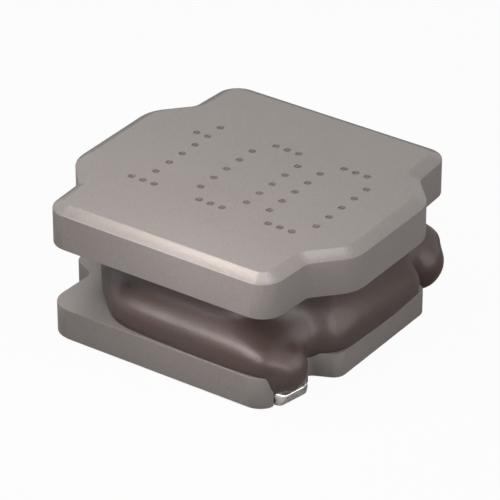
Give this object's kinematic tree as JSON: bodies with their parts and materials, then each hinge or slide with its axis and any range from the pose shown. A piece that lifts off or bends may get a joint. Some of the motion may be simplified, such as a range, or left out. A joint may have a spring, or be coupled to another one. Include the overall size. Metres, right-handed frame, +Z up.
{
  "type": "inductor",
  "caption": "Flat surface-mount power inductor: ferrite drum core with eared flanges, copper winding, dark resin coat and two plated terminals underneath.",
  "frame": {"origin": "centre of the bounding box in plan, at the underside of the terminals", "axes": "+X towards the side where both wire ends come down, along the straight front and back edges; -Y the front edge; +Z up, towards the plain top face"},
  "size_m": [0.006, 0.0056, 0.0026],
  "materials": {
    "ferrite": "satin",
    "enamelled_copper": "gloss",
    "magnetic_resin": "satin",
    "tin_plating": "satin",
    "solder": "polished"
  },
  "bodies": {
    "root": {"drum_core": "ferrite", "winding": "enamelled_copper", "resin_coating": "magnetic_resin", "terminal_front": "tin_plating", "terminal_back": "tin_plating", "solder_front": "solder", "solder_back": "solder"}
  },
  "joints": []
}
